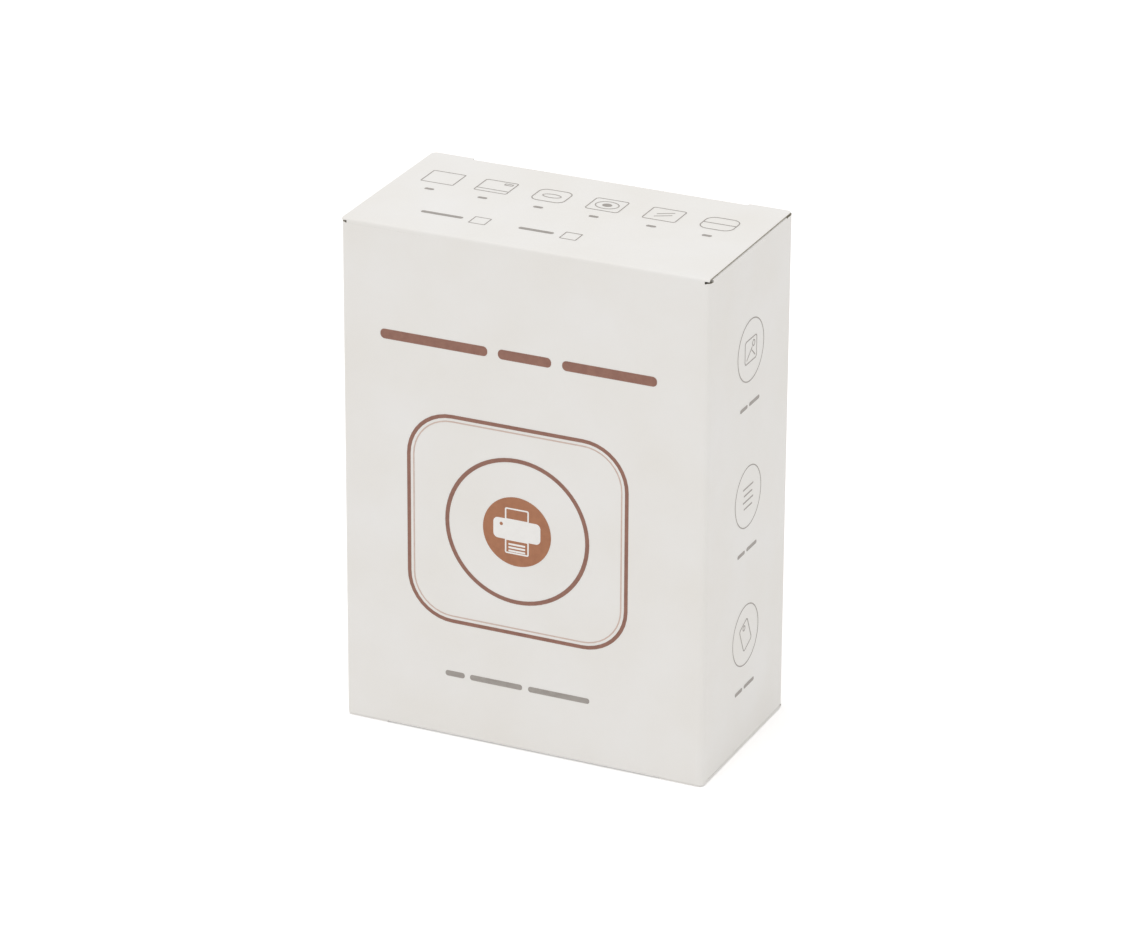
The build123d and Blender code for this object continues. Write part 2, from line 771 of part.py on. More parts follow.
with BuildPart() as head_plate:
    with BuildSketch(in_printer(Plane.XZ.offset(-head_face_y + ceramic_thickness))):
        with Locations((0, head_bottom + head_height / 2)):
            RectangleRounded(head_width, head_height, board)
    extrude(amount=head_plate_thickness)
write(head_plate.part, "head_plate")

plate_back_y = head_face_y - ceramic_thickness - head_plate_thickness
with BuildPart() as head_spring:
    with BuildSketch(in_printer(Plane.XY.offset(head_bottom))):
        with BuildLine():
            ThreePointArc(
                (-head_spring_width / 2, -inner_half_depth + head_spring_sheet),
                (0, plate_back_y - head_spring_sheet),
                (head_spring_width / 2, -inner_half_depth + head_spring_sheet),
            )
        trace(line_width=head_spring_sheet)
    extrude(amount=ceramic_height)
write(head_spring.part, "head_spring")

# Tear bar: a toothed steel strip on the front edge of the exit slot
tear_bar_top = printer_height + tear_tooth_depth
tear_tooth_count = int(tear_bar_width / tear_tooth_pitch)
with BuildPart() as tear_bar:
    with BuildSketch(in_printer(Plane.XZ.offset(-slot_front_y - seat_gap / 4))):
        with Locations((0, tear_bar_top - tear_bar_height / 2)):
            Rectangle(tear_bar_width, tear_bar_height)
        with Locations((0, tear_bar_top)):
            with GridLocations(tear_tooth_pitch, 0, tear_tooth_count, 1):
                Polygon(
                    (-tear_tooth_pitch / 2, 0),
                    (0, -tear_tooth_depth),
                    (tear_tooth_pitch / 2, 0),
                    align=None,
                    mode=Mode.SUBTRACT,
                )
    extrude(amount=-tear_bar_sheet)
write(tear_bar.part, "tear_bar")

# Battery against the front shell, circuit board on the back shell's posts
with BuildPart() as battery:
    with BuildSketch(in_printer(Plane.XZ.offset(inner_half_depth - seat_gap))):
        with Locations(((battery_left + battery_right) / 2, battery_bottom + battery_height / 2)):
            RectangleRounded(battery_width, battery_height, battery_corner)
    extrude(amount=-battery_thickness)
write(battery.part, "battery")

circuit_front = circuit_back - circuit_thickness
with BuildPart() as circuit_board:
    with BuildSketch(in_printer(Plane.XZ.offset(-circuit_back))):
        with Locations(((circuit_left + circuit_right) / 2, (circuit_bottom + circuit_top) / 2)):
            RectangleRounded(circuit_right - circuit_left, circuit_top - circuit_bottom, board)
        with Locations(*circuit_holes):
            Circle(screw_radius, mode=Mode.SUBTRACT)
    extrude(amount=circuit_thickness)
write(circuit_board.part, "circuit_board")

with BuildPart() as board_screws:
    with BuildSketch(in_printer(Plane.XZ.offset(-circuit_back + circuit_thickness))):
        with Locations(*circuit_holes):
            Circle(screw_head_radius - running_gap)
    extrude(amount=screw_head_height / 2)
write(board_screws.part, "board_screws")

# Charging socket: a rounded metal sleeve with its tongue, its mouth in the right-hand wall
usb_mouth_x = printer_width / 2 - seat_gap
with BuildPart() as usb_socket:
    with BuildSketch(in_printer(Plane.YZ.offset(usb_mouth_x))):
        with Locations((side_row_y, usb_z)):
            SlotOverall(usb_width, usb_thickness, rotation=90)
            SlotOverall(usb_width - board, usb_thickness - board, rotation=90, mode=Mode.SUBTRACT)
    extrude(amount=-usb_length)
    with BuildSketch(in_printer(Plane.YZ.offset(usb_mouth_x - usb_length))):
        with Locations((side_row_y, usb_z)):
            SlotOverall(usb_width, usb_thickness, rotation=90)
    extrude(amount=board)
    with BuildSketch(in_printer(Plane.YZ.offset(usb_mouth_x - usb_length))):
        with Locations((side_row_y, usb_z)):
            Rectangle(usb_thickness / 4, usb_width - usb_thickness)
    extrude(amount=usb_length - board)
write(usb_socket.part, "usb_socket")

# Power button: a round cap with an inner flange, over a small switch on the circuit board
with BuildPart() as power_button:
    with BuildSketch(in_printer(Plane.YZ.offset(flange_inner_x))):
        with Locations((side_row_y, button_z)):
            Circle(button_radius + button_flange)
    extrude(amount=button_flange)
    with BuildSketch(in_printer(Plane.YZ.offset(flange_outer_x))):
        with Locations((side_row_y, button_z)):
            Circle(button_radius)
    extrude(amount=printer_width / 2 + button_proud - flange_outer_x)
    chamfer(edges().group_by(Axis.X)[-1], button_proud / 2)
write(power_button.part, "power_button")

switch_tip_x = flange_inner_x - button_travel - running_gap
with BuildPart() as power_switch:
    with BuildSketch(in_printer(Plane.XZ.offset(-circuit_front))):
        with Locations((switch_tip_x - button_radius, button_z)):
            Rectangle(2 * button_radius - 2 * button_flange, 2 * button_radius)
    extrude(amount=2 * (circuit_front - side_row_y))
    with BuildSketch(in_printer(Plane.YZ.offset(switch_tip_x - button_radius))):
        with Locations((side_row_y, button_z)):
            Circle(button_flange)
    extrude(amount=button_radius)
write(power_switch.part, "power_switch")

# Light pipe of the status light, from the circuit board to the right-hand wall
with BuildPart() as status_light:
    with BuildSketch(in_printer(Plane.YZ.offset(printer_width / 2))):
        with Locations((side_row_y, light_z)):
            Circle(light_radius)
    extrude(amount=-(3 * wall))
    with BuildSketch(in_printer(Plane.XZ.offset(-circuit_front))):
        with Locations((printer_width / 2 - 3 * wall, light_z)):
            Rectangle(2 * light_radius, 2 * light_radius)
    extrude(amount=circuit_front - side_row_y + light_radius)
write(status_light.part, "status_light")

# Screws that hold the two shells together, from the back
with BuildPart() as housing_screws:
    head_seat_y = printer_depth / 2 - wall
    with BuildSketch(in_printer(Plane.XZ.offset(-head_seat_y))):
        with Locations(*boss_places):
            Circle(screw_head_radius)
    extrude(amount=screw_head_height)
    with BuildSketch(in_printer(Plane.XZ.offset(-head_seat_y))):
        with Locations(*boss_places):
            Circle(screw_radius)
    extrude(amount=screw_length)
write(housing_screws.part, "housing_screws")

# Rubber feet under the printer
with BuildPart() as rubber_feet:
    with BuildSketch(in_printer(Plane.XY)):
        with GridLocations(foot_spacing_x, foot_spacing_y, 2, 2):
            Circle(foot_radius)
    extrude(amount=-foot_height)
write(rubber_feet.part, "rubber_feet")
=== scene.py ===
"""Looks of the boxed pocket printer: a white tuck-end carton with brown and grey print."""
import json
from math import pi, radians

import bmesh
import bpy
from mathutils import Matrix, Vector


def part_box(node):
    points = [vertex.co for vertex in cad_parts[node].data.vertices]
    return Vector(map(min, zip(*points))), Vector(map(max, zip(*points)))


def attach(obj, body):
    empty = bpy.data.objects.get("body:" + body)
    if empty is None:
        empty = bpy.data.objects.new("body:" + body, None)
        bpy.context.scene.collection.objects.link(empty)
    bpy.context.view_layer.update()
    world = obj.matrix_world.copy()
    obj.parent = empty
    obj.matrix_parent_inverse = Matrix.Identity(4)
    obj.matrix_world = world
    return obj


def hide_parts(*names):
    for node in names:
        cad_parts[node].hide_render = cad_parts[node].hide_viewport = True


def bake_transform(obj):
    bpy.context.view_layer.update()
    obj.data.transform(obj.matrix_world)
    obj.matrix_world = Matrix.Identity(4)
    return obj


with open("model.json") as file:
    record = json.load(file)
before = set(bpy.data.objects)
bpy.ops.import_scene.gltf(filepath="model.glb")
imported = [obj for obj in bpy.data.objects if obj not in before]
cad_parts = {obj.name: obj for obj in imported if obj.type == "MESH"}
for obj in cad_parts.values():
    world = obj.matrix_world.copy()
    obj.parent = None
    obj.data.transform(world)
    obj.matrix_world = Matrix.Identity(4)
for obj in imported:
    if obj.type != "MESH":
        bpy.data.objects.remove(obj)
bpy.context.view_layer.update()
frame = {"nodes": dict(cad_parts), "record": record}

mm = 0.001

# Carton sizes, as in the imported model
half_width = 50.0 * mm
half_depth = 26.0 * mm
height = 137.0 * mm
board = 0.5 * mm
fold_radius = 0.7 * mm
fold_y = -half_depth + fold_radius
tuck_y = 24.7 * mm
shoulder_inner_x = 38.2 * mm
panel_half = 49.7 * mm

# The board's skin lies a little inside the carton's box, so that its waves and the ink stay in the box
skin = 0.075 * mm
lid_skin = 0.06 * mm
waviness = 0.06 * mm

# Ink is a thin film over the skin, and what lies on other ink is lifted by a half or a whole film
ink_lift = 0.04 * mm
ink_thickness = 0.02 * mm
half_layer = 0.5
full_layer = 1

# The wall under a hinged panel ends this far from the carton's end, and the panel's strip reaches it
hinge_edge = 1.38 * mm
strip_half = 48.4 * mm

# Faces, edges and points are picked by where they lie and face, within these allowances
square_on = 0.9
near = 0.1 * mm
very_near = 0.01 * mm

# Most values of a noise pattern lie between these two
grain_low = 0.3
grain_high = 0.7

# Sockets of the surface shader that take one plain value
sockets = {
    "ior": "IOR",
    "metal": "Metallic",
    "rough": "Roughness",
    "coat": "Coat Weight",
    "coat_rough": "Coat Roughness",
    "clear": "Transmission Weight",
    "soft": "Subsurface Weight",
}


# Shading tools

def linear(code):
    """A colour written as sRGB hex, turned by the sRGB curve to the linear values that a shader takes."""
    parts = [int(code[i:i + 2], 16) / 255 for i in (1, 3, 5)]
    return [p / 12.92 if p <= 0.04045 else ((p + 0.055) / 1.055) ** 2.4 for p in parts] + [1.0]


def node(tree, kind, inputs=None, **settings):
    """Adds a node to a material, with its settings, values and links."""
    new = tree.nodes.new(kind)
    for key, value in settings.items():
        setattr(new, key, value)
    for key, value in (inputs or {}).items():
        if isinstance(value, bpy.types.NodeSocket):
            tree.links.new(value, new.inputs[key])
        else:
            new.inputs[key].default_value = value
    return new


def fresh(name):
    """An empty material with its shader, and the point on the piece that its patterns read."""
    material = bpy.data.materials.new(name)
    material.use_nodes = True
    tree = material.node_tree
    tree.nodes.clear()
    shader = tree.nodes.new("ShaderNodeBsdfPrincipled")
    out = tree.nodes.new("ShaderNodeOutputMaterial")
    tree.links.new(shader.outputs["BSDF"], out.inputs["Surface"])
    point = node(tree, "ShaderNodeTexCoord").outputs["Object"]
    return material, tree, shader, point


def grain(tree, point, size, detail=3.0, stretch=(1, 1, 1)):
    """Soft random grain whose lumps are about size across; a stretch below 1 lengthens them that way."""
    scaled = node(tree, "ShaderNodeMapping", {"Vector": point, "Scale": stretch})
    lumps = {"Vector": scaled.outputs["Vector"], "Scale": 1 / size, "Detail": detail}
    return node(tree, "ShaderNodeTexNoise", lumps).outputs["Fac"]


def tint(tree, fac, low, high, start=grain_low, end=grain_high):
    """Two colours spread over a pattern's values from start to end."""
    ramp = node(tree, "ShaderNodeValToRGB", {"Fac": fac})
    stops = ramp.color_ramp.elements
    stops[0].position = start
    stops[1].position = end
    stops[0].color = linear(low)
    stops[1].color = linear(high)
    return ramp.outputs["Color"]


def relief(tree, shader, fac, depth, strength=1.0):
    """Bumps as deep as depth, from a pattern's values."""
    bump = node(tree, "ShaderNodeBump", {"Height": fac, "Distance": depth, "Strength": strength})
    tree.links.new(bump.outputs["Normal"], shader.inputs["Normal"])


def spread(tree, fac, low, high):
    """A grain's values brought to the range from low to high."""
    ends = {"Value": fac, "From Min": grain_low, "From Max": grain_high, "To Min": low, "To Max": high}
    return node(tree, "ShaderNodeMapRange", ends).outputs["Result"]


def surface(shader, **values):
    """Plain values on the shader's own sockets."""
    for key, value in values.items():
        shader.inputs[sockets[key]].default_value = value


def dressed(name, low, high, size, rough, depth=0.02 * mm, stretch=(1, 1, 1), **values):
    """A finish made of one grain: two close colours, a roughness range and a fine relief."""
    material, tree, shader, point = fresh(name)
    fac = grain(tree, point, size, stretch=stretch)
    tree.links.new(tint(tree, fac, low, high), shader.inputs["Base Color"])
    tree.links.new(spread(tree, fac, *rough), shader.inputs["Roughness"])
    relief(tree, shader, fac, depth)
    surface(shader, **values)
    return material


# Materials

def coated_board():
    """Clay-coated folding boxboard with a matt varnish.

    It is near white with a faint wide mottle, and its soft sheen breaks up over the fibres.
    """
    material, tree, shader, point = fresh("coated_folding_boxboard")
    mottle = grain(tree, point, 22 * mm, detail=4.0)
    fibre = grain(tree, point, 0.9 * mm, detail=4.0)
    tree.links.new(tint(tree, mottle, "#EDEAE5", "#F0EEEB"), shader.inputs["Base Color"])
    tree.links.new(spread(tree, fibre, 0.50, 0.60), shader.inputs["Roughness"])
    relief(tree, shader, fibre, 0.010 * mm)
    surface(shader, ior=1.45)
    return material


def board_cut_with_painted_shade():
    """Cut edge of the boxboard: bare pulp between the two coatings, greyer, rough and grainy; its grey-brown
    is painted darker than the pulp, as painted shade for the dark shadow line at the lid's edge.
    """
    material, tree, shader, point = fresh("boxboard_cut_edge_with_painted_shade")
    pulp = grain(tree, point, 0.25 * mm, detail=5.0)
    tree.links.new(tint(tree, pulp, "#8F897C", "#A8A294"), shader.inputs["Base Color"])
    relief(tree, shader, pulp, 0.05 * mm)
    surface(shader, rough=0.85, ior=1.45)
    return material


def printed_ink(name, low, high):
    """Offset ink on coated board: a thin film with the board's soft gloss, a little uneven in tone."""
    material, tree, shader, point = fresh(name)
    tone = grain(tree, point, 1.4 * mm, detail=4.0)
    tree.links.new(tint(tree, tone, low, high), shader.inputs["Base Color"])
    tree.links.new(spread(tree, tone, 0.42, 0.52), shader.inputs["Roughness"])
    relief(tree, shader, tone, 0.006 * mm)
    surface(shader, ior=1.5)
    return material


def wound_paper():
    """Thermal paper wound on a core: smooth on the outside, with fine rings at the ends of the roll."""
    material, tree, shader, point = fresh("wound_thermal_paper")
    low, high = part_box("paper_roll")
    centre = [(a + b) / 2 for a, b in zip(low, high)]
    centred = node(tree, "ShaderNodeMapping", {"Vector": point, "Location": [-c for c in centre]})
    # the real turns are 0.06 mm apart, drawn ten times as far apart so that they show
    turn_gap = 0.6 * mm
    # the wave pattern has a ring every 0.31 m at a scale of 1
    ring_gap = 0.31
    scale = ring_gap / turn_gap
    rings = {"Vector": centred.outputs["Vector"], "Scale": scale, "Distortion": 0.6, "Detail": 2.0}
    turns = node(tree, "ShaderNodeTexWave", rings, wave_type="RINGS", rings_direction="X").outputs["Fac"]
    tree.links.new(tint(tree, turns, "#E4E3DF", "#F6F6F4", 0.1, 0.9), shader.inputs["Base Color"])
    relief(tree, shader, turns, 0.03 * mm)
    surface(shader, rough=0.42, ior=1.5)
    return material


def green_laminate():
    """Glass-epoxy laminate under green solder mask: glossy, with copper runs that show lighter through it."""
    material, tree, shader, point = fresh("solder_masked_laminate")
    # the pattern lies flat, so it is turned up to the upright circuit board
    upright = node(tree, "ShaderNodeMapping", {"Vector": point, "Rotation": (pi / 2, 0, 0)})
    runs = node(tree, "ShaderNodeTexBrick", {
        "Vector": upright.outputs["Vector"],
        "Color1": linear("#0E5A33"),
        "Color2": linear("#136B3D"),
        "Mortar": linear("#2F8A55"),
        "Scale": 1.0,
        "Mortar Size": 0.18 * mm,
        "Brick Width": 5.2 * mm,
        "Row Height": 1.7 * mm,
        "Mortar Smooth": 0.1,
    })
    tree.links.new(runs.outputs["Color"], shader.inputs["Base Color"])
    relief(tree, shader, runs.outputs["Fac"], 0.03 * mm)
    surface(shader, rough=0.28, ior=1.55, coat=0.3, coat_rough=0.12)
    return material


def drawn_steel():
    """Bright drawn steel: fine straight lines along the part's length, which stretch its highlights."""
    material, tree, shader, point = fresh("bright_drawn_steel")
    lines = grain(tree, point, 0.5 * mm, stretch=(0.05, 1, 1))
    tree.links.new(tint(tree, lines, "#B9BBBE", "#D2D4D6"), shader.inputs["Base Color"])
    tree.links.new(spread(tree, lines, 0.22, 0.36), shader.inputs["Roughness"])
    relief(tree, shader, lines, 0.01 * mm)
    surface(shader, metal=1.0)
    return material


def textured_abs():
    """Moulded ABS from a spark-eroded tool: warm white, with a fine even texture and a satin gloss."""
    material, tree, shader, point = fresh("textured_white_abs")
    pit_gap = 0.55 * mm
    pits = node(tree, "ShaderNodeTexVoronoi", {"Vector": point, "Scale": 1 / pit_gap}, feature="SMOOTH_F1")
    tone = grain(tree, point, 30 * mm)
    tree.links.new(tint(tree, tone, "#ECEBE7", "#F2F1EE"), shader.inputs["Base Color"])
    relief(tree, shader, pits.outputs["Distance"], 0.035 * mm, 0.6)
    surface(shader, rough=0.46, ior=1.53)
    return material


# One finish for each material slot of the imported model
finishes = {
    "paperboard": coated_board(),
    # white card with no coating: matt, with a soft short grain
    "insert_card": dressed(
        "white_insert_card", "#E9E8E4", "#F1F0ED", 0.8 * mm, (0.62, 0.74), ior=1.45),
    # leaflet paper with no coating: chalky, and brighter than the card
    "leaflet_paper": dressed(
        "uncoated_leaflet_paper", "#F0EFEB", "#F7F6F3", 0.5 * mm, (0.78, 0.9), ior=1.45),
    "housing_plastic": textured_abs(),
    # dark moulded ABS inside the printer: nearly black, with a low even sheen
    "inner_plastic": dressed(
        "dark_moulded_abs", "#252527", "#303033", 1.2 * mm, (0.42, 0.54), ior=1.53),
    # natural acetal: creamy and waxy, because light goes a little way into it
    "gear_plastic": dressed(
        "natural_acetal", "#E3E0D2", "#ECE9DD", 2.0 * mm, (0.32, 0.42), soft=0.1, ior=1.48),
    "steel": drawn_steel(),
    # plain rolled aluminium: pale grey metal, with rolling lines along it
    "head_aluminium": dressed(
        "plain_aluminium", "#C6C8CA", "#D8DADB", 0.6 * mm, (0.34, 0.46), stretch=(0.08, 1, 1), metal=1.0),
    # glazed alumina: cream white and glossy
    "head_ceramic": dressed(
        "glazed_alumina_strip", "#E5E1D6", "#EFECE4", 1.5 * mm, (0.16, 0.24), ior=1.6),
    # ground silicone rubber: nearly black, with a fine dull grain
    "platen_rubber": dressed(
        "ground_silicone_rubber", "#1B1B1C", "#28282A", 0.35 * mm, (0.7, 0.82), ior=1.42),
    # moulded rubber of the feet: an even dull grey
    "foot_rubber": dressed(
        "grey_foot_rubber", "#8C8C8A", "#999997", 0.5 * mm, (0.75, 0.85), ior=1.5),
    "thermal_paper": wound_paper(),
    # wound kraft card: dry brown, with a soft mottle
    "core_card": dressed(
        "kraft_core_card", "#A98D66", "#BDA27B", 0.7 * mm, (0.75, 0.88), ior=1.45),
    "circuit": green_laminate(),
    # pressed pouch film: soft silver with shallow dents that bend its highlights
    "battery_film": dressed(
        "aluminium_pouch_film", "#B7B9BD", "#CDCFD2", 3.5 * mm, (0.3, 0.42), depth=0.12 * mm, metal=0.9),
    # moulded nylon: black and half dull
    "switch_plastic": dressed(
        "black_switch_nylon", "#161617", "#202022", 0.6 * mm, (0.45, 0.55), ior=1.52),
    # polished ABS: smooth white with a clear highlight
    "button_plastic": dressed(
        "polished_white_abs", "#EBEAE6", "#F1F0ED", 6.0 * mm, (0.14, 0.2), depth=0.004 * mm, ior=1.53),
    # moulded acrylic: clear as glass, and glossy
    "light_pipe": dressed(
        "clear_acrylic_light_pipe", "#EEF2F3", "#F6F9FA", 2.0 * mm, (0.06, 0.12), depth=0.002 * mm,
        clear=0.9, ior=1.49),
}
# the cut edge's grey is darker than bare pulp, as painted shade for the shadow line under the lid's edge
cut_edge_with_painted_shade = board_cut_with_painted_shade()

# Inks of the print, each in two close tones, with the board's white for the sign on the disc
brown_ink = printed_ink("brown_line_ink", "#8A5F50", "#966B5B")
copper_ink = printed_ink("copper_brown_disc_ink", "#A36A49", "#AD7452")
pale_ink = printed_ink("pale_brown_hairline_ink", "#CDB4A8", "#D6C0B5")
grey_ink = printed_ink("warm_grey_text_ink", "#9A938D", "#A6A09A")
white_ink = printed_ink("white_reserve_ink", "#F0EEEB", "#F4F2EF")


def finish_with(piece, *materials):
    """Replaces a piece's materials."""
    piece.data.materials.clear()
    for material in materials:
        piece.data.materials.append(material)


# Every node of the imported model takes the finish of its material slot
for part in frame["record"]["subparts"]:
    carried = frame["nodes"][part["node"]]
    for slot in carried.material_slots:
        slot.material = finishes[part["material_slot"]]


# Modelling tools

def alone(piece):
    """Makes one piece the only one selected and active."""
    bpy.ops.object.select_all(action="DESELECT")
    piece.select_set(True)
    bpy.context.view_layer.objects.active = piece


def settle(piece):
    """Puts a piece's place, turn and size into its mesh."""
    alone(piece)
    bpy.ops.object.transform_apply(location=True, rotation=True, scale=True)
    return piece


def rename(piece, name):
    """Gives a piece and its mesh one name."""
    piece.name = name
    piece.data.name = name


def block(name, low, high):
    """A plain block between two corners."""
    middle = [(a + b) / 2 for a, b in zip(low, high)]
    bpy.ops.mesh.primitive_cube_add(size=1, location=middle, scale=[b - a for a, b in zip(low, high)])
    piece = bpy.context.active_object
    rename(piece, name)
    return settle(piece)


def pick(kind, test):
    """In edit mode, selects only the vertices, edges or faces that pass a test.

    The test is given the middle of each, and a face's normal or an edge's run.
    """
    bpy.ops.mesh.select_mode(type="VERT")
    bpy.ops.mesh.select_all(action="DESELECT")
    bpy.ops.mesh.select_mode(type=kind)
    mesh = bmesh.from_edit_mesh(bpy.context.active_object.data)
    mesh.normal_update()
    group = {"VERT": mesh.verts, "EDGE": mesh.edges, "FACE": mesh.faces}[kind]
    for part in group:
        corners = [part.co] if kind == "VERT" else [v.co for v in part.verts]
        middle = sum(corners, Vector()) / len(corners)
        facing = part.normal if kind == "FACE" else corners[-1] - corners[0]
        if test(middle, facing):
            part.select_set(True)
    mesh.select_flush_mode()
    bmesh.update_edit_mesh(bpy.context.active_object.data)


def shift_points(test, shift):
    """In edit mode, moves the vertices whose place passes a test."""
    pick("VERT", lambda place, _: test(place))
    bpy.ops.transform.translate(value=shift)


def cut_across(place, direction):
    """Cuts the whole edited mesh by a plane."""
    bpy.ops.mesh.select_all(action="SELECT")
    bpy.ops.mesh.bisect(plane_co=place, plane_no=direction)


def cut_at_x(x):
    """Cuts the edited mesh by an upright plane that faces sideways."""
    cut_across((x, 0, 0), (1, 0, 0))


def cut_at_y(y):
    """Cuts the edited mesh by an upright plane that faces forwards."""
    cut_across((0, y, 0), (0, 1, 0))


def cut_at_z(z):
    """Cuts the edited mesh by a level plane."""
    cut_across((0, 0, z), (0, 0, 1))


def apply_modifier(piece, kind, **settings):
    """Adds a modifier, sets it and applies it."""
    alone(piece)
    modifier = piece.modifiers.new(kind.title(), kind)
    for key, value in settings.items():
        setattr(modifier, key, value)
    bpy.ops.object.modifier_apply(modifier=modifier.name)


def waver(piece):
    """Lets a board surface swell and sink very slightly, as folded board does."""
    clouds = bpy.data.textures.new("board_waviness", "CLOUDS")
    clouds.noise_scale = 30 * mm
    apply_modifier(piece, "DISPLACE", texture=clouds, strength=waviness, mid_level=0.5,
                   texture_coords="GLOBAL")


def smooth(piece):
    """Smooth shading over every edge that turns by less than 40 degrees."""
    alone(piece)
    bpy.ops.object.shade_smooth_by_angle(angle=radians(40))


# Carton board pieces

def upright_sleeve():
    """Four upright panels of the carton, one bent sheet with rounded folds."""
    # how far the board ends from the carton's ends, at its corners, beside a tucked edge and at its sides
    corner_edge = 0.68 * mm
    tuck_edge = 0.45 * mm
    side_edge = 1.22 * mm
    corner_rise = 0.18 * mm
    # the size of the rounded folds, and the places where corners, walls and flat parts are told apart
    fold = 1.3 * mm
    corner_y = half_depth - 3.55 * mm
    wall_y = half_depth - 1.0 * mm
    fold_end_y = half_depth - fold
    flat_half = half_width - 1.2 * mm
    # cuts that let the board wave
    rows = 14
    column = 10 * mm
    side_column = 5 * mm
    low = (-half_width + skin, -half_depth + skin, corner_edge)
    high = (half_width - skin, half_depth - skin, height - corner_edge)
    piece = block("sleeve_board", low, high)
    bpy.ops.object.mode_set(mode="EDIT")
    pick("FACE", lambda middle, facing: abs(facing.z) > square_on)
    bpy.ops.mesh.delete(type="ONLY_FACE")
    pick("EDGE", lambda middle, run: abs(run.z) > near)
    bpy.ops.mesh.bevel(offset=fold, segments=6, affect="EDGES")
    for row in range(1, rows):
        cut_at_z(side_edge + (height - 2 * side_edge) * row / rows)
    for z in (side_edge, height - side_edge):
        cut_at_z(z)
    for step in range(-4, 5):
        cut_at_x(step * column)
        cut_at_y(step * side_column)
    for side in (-1, 1):
        cut_at_y(side * corner_y)
    # at each end only the wall beside the tucked edge, with its two corners, reaches the end panel
    pick("FACE", lambda middle, facing: (middle.z > height - side_edge and middle.y < corner_y)
         or (middle.z < side_edge and middle.y > -corner_y))
    bpy.ops.mesh.delete(type="FACE")
    bpy.ops.mesh.select_all(action="SELECT")
    bpy.ops.mesh.normals_make_consistent(inside=False)
    bpy.ops.object.mode_set(mode="OBJECT")
    # the sleeve's cut rims take the cut edge's colour, which is partly painted shade
    finish_with(piece, finishes["paperboard"], cut_edge_with_painted_shade)
    waver(piece)
    apply_modifier(piece, "SOLIDIFY", thickness=board, offset=-1, material_offset_rim=1)
    bpy.ops.object.mode_set(mode="EDIT")
    # the wall under each hinged panel stops short, to leave room for the open panel
    shift_points(lambda spot: spot.z > height - side_edge - near and spot.y < -wall_y
                 and abs(spot.x) < flat_half, (0, 0, side_edge - hinge_edge))
    shift_points(lambda spot: spot.z < side_edge + near and spot.y > wall_y
                 and abs(spot.x) < flat_half, (0, 0, hinge_edge - side_edge))
    # the wall beside each tucked edge reaches almost to the end panel's face
    shift_points(lambda spot: spot.z < corner_edge + near and spot.y < -wall_y,
                 (0, 0, tuck_edge - corner_edge))
    shift_points(lambda spot: spot.z > height - corner_edge - near and spot.y > wall_y,
                 (0, 0, corner_edge - tuck_edge))
    # and its lower corners stay clear of the base's upturned sides
    shift_points(lambda spot: spot.z < corner_edge + near and spot.y > -fold_end_y, (0, 0, corner_rise))
    bpy.ops.object.mode_set(mode="OBJECT")
    smooth(piece)
    return piece


def end_panel():
    """Lid panel: a flat sheet, rounded over and turned down at the front, with slit shoulders at the rear."""
    sheet = 0.4 * mm
    slope = 0.4 * mm
    rear = half_depth - 0.06 * mm
    shoulder_rounding = 1.6 * mm
    column = 10 * mm
    row = 6 * mm
    strip_steps = 2
    strip_drop = (fold_radius - hinge_edge + very_near) / strip_steps
    piece = block("lid_board", (-panel_half, fold_y, height - sheet), (panel_half, rear, height - lid_skin))
    bpy.ops.object.mode_set(mode="EDIT")
    for side in (-1, 1):
        cut_at_x(side * shoulder_inner_x)
        cut_at_x(side * (shoulder_inner_x - slope))
        cut_at_x(side * strip_half)
    # between its shoulders the rear edge steps back to the crease of the tuck flap
    pick("FACE", lambda middle, facing: facing.y > square_on
         and abs(middle.x) < shoulder_inner_x - slope - near)
    bpy.ops.transform.translate(value=(0, tuck_y - rear, 0))
    pick("EDGE", lambda middle, run: abs(middle.x) > panel_half - very_near
         and middle.y > rear - very_near)
    bpy.ops.mesh.bevel(offset=shoulder_rounding, segments=5, affect="EDGES")
    for step in range(-3, 4):
        cut_at_x(step * column)
        cut_at_y(step * row)
    pick("FACE", lambda middle, facing: facing.y < -square_on)
    bpy.ops.mesh.spin(steps=7, angle=-pi / 2, center=(0, fold_y, height - fold_radius), axis=(1, 0, 0))
    # a narrow strip goes on down from the fold to the wall
    pick("FACE", lambda middle, facing: facing.z < -square_on and middle.y < fold_y - 2 * near
         and abs(middle.x) < strip_half)
    for _ in range(strip_steps):
        bpy.ops.mesh.extrude_region_move(TRANSFORM_OT_translate={"value": (0, 0, strip_drop)})
    bpy.ops.mesh.select_all(action="SELECT")
    bpy.ops.mesh.remove_doubles(threshold=0.002 * mm)
    bpy.ops.mesh.normals_make_consistent(inside=False)
    bpy.ops.object.mode_set(mode="OBJECT")
    waver(piece)
    # the sheet's side and rear edges show the cut board, whose darker grey is partly painted shade
    finish_with(piece, finishes["paperboard"], cut_edge_with_painted_shade)
    half_on = 0.5
    for face in piece.data.polygons:
        across, back, up = face.normal
        edge_face = abs(up) < half_on and (abs(across) > half_on or back > half_on)
        face.material_index = 1 if edge_face else 0
    smooth(piece)
    return piece


def turned_under(piece, name):
    """The same board for the other end of the carton, turned half round the carton's middle."""
    other = piece.copy()
    other.data = piece.data.copy()
    rename(other, name)
    bpy.context.collection.objects.link(other)
    other.rotation_euler = (pi, 0, 0)
    other.location = (0, 0, height)
    return settle(other)


